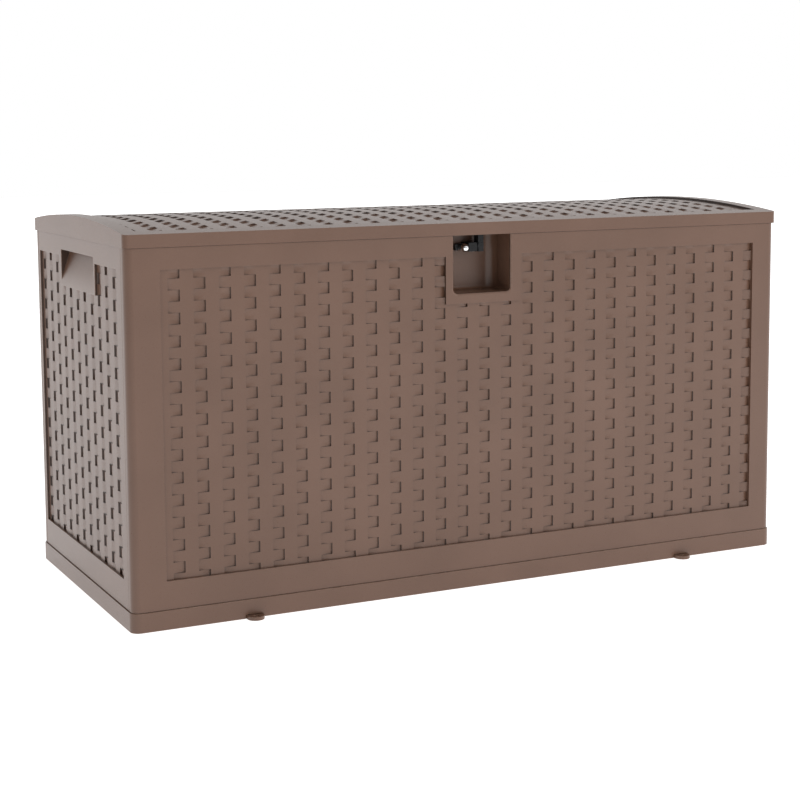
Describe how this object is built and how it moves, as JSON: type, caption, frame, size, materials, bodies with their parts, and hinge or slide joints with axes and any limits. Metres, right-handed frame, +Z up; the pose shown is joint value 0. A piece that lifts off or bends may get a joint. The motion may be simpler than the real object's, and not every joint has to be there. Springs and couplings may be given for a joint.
{
  "type": "deck storage box",
  "caption": "Long outdoor storage chest with woven-pattern resin walls, an arched hinged lid on two gas struts, a slide bolt in a front recess and side hand-holds.",
  "frame": {"origin": "centre of the bounding box, on the ground", "axes": "+X along the front to the right, +Y from front to back, +Z up"},
  "size_m": [1.208, 0.566, 0.6255],
  "materials": {
    "brown_resin": "semi-matt moulded resin",
    "dark_brown_resin": "matt moulded resin",
    "black_steel": "satin black paint",
    "zinc_steel": "zinc plated",
    "chrome": "polished"
  },
  "bodies": {
    "box": {"base_frame": "brown_resin", "floor_bearer": "dark_brown_resin", "floor_panel_left": "dark_brown_resin", "floor_panel_right": "dark_brown_resin", "anchor_tab_front_left": "brown_resin", "anchor_tab_front_right": "brown_resin", "anchor_tab_back_left": "brown_resin", "anchor_tab_back_right": "brown_resin", "front_panel": "brown_resin", "back_panel": "brown_resin", "side_panel_left": "brown_resin", "side_panel_right": "brown_resin", "hinge_body_leaf_left": "dark_brown_resin", "hinge_body_leaf_middle": "dark_brown_resin", "hinge_body_leaf_right": "dark_brown_resin", "hinge_pin_left": "zinc_steel", "hinge_pin_middle": "zinc_steel", "hinge_pin_right": "zinc_steel", "latch_housing": "black_steel", "latch_screw_left": "zinc_steel", "latch_screw_right": "zinc_steel", "strut_foot_bracket_left": "black_steel", "strut_foot_bracket_right": "black_steel"},
    "lid": {"lid_shell": "brown_resin", "lid_stiffener_front": "zinc_steel", "lid_stiffener_back": "zinc_steel", "hinge_lid_leaf_left": "dark_brown_resin", "hinge_lid_leaf_middle": "dark_brown_resin", "hinge_lid_leaf_right": "dark_brown_resin", "latch_keeper": "black_steel", "strut_lid_bracket_left": "black_steel", "strut_lid_bracket_right": "black_steel"},
    "bolt": {"latch_bolt": "black_steel", "latch_knob": "chrome"},
    "cylinder_left": {"strut_cylinder_left": "black_steel"},
    "rod_left": {"strut_rod_left": "chrome"},
    "cylinder_right": {"strut_cylinder_right": "black_steel"},
    "rod_right": {"strut_rod_right": "chrome"}
  },
  "joints": [
    {"name": "lid_hinge", "type": "hinge", "parent": "box", "child": "lid", "pos_m": [0, 0.2745, 0.588], "axis": [-1, 0, 0], "range_deg": [0, 75]},
    {"name": "bolt_slide", "type": "slide", "parent": "box", "child": "bolt", "axis": [1, 0, 0], "range_m": [0, 0.008]},
    {"name": "strut_foot_left", "type": "hinge", "parent": "box", "child": "cylinder_left", "pos_m": [-0.568, 0.2145, 0.368], "axis": [-1, 0, 0], "range_deg": [0, 10.7]},
    {"name": "strut_stroke_left", "type": "slide", "parent": "cylinder_left", "child": "rod_left", "axis": [0, -0.1047, 0.9945], "range_m": [0, 0.0903]},
    {"name": "strut_foot_right", "type": "hinge", "parent": "box", "child": "cylinder_right", "pos_m": [0.568, 0.2145, 0.368], "axis": [-1, 0, 0], "range_deg": [0, 10.7]},
    {"name": "strut_stroke_right", "type": "slide", "parent": "cylinder_right", "child": "rod_right", "axis": [0, -0.1047, 0.9945], "range_m": [0, 0.0903]}
  ],
  "couplings": [
    {"joint": "strut_foot_left", "follows": "lid_hinge", "ratio": 0.14152},
    {"joint": "strut_stroke_left", "follows": "lid_hinge", "m_per_rad": 0.068897},
    {"joint": "strut_foot_right", "follows": "lid_hinge", "ratio": 0.14152},
    {"joint": "strut_stroke_right", "follows": "lid_hinge", "m_per_rad": 0.068897}
  ]
}
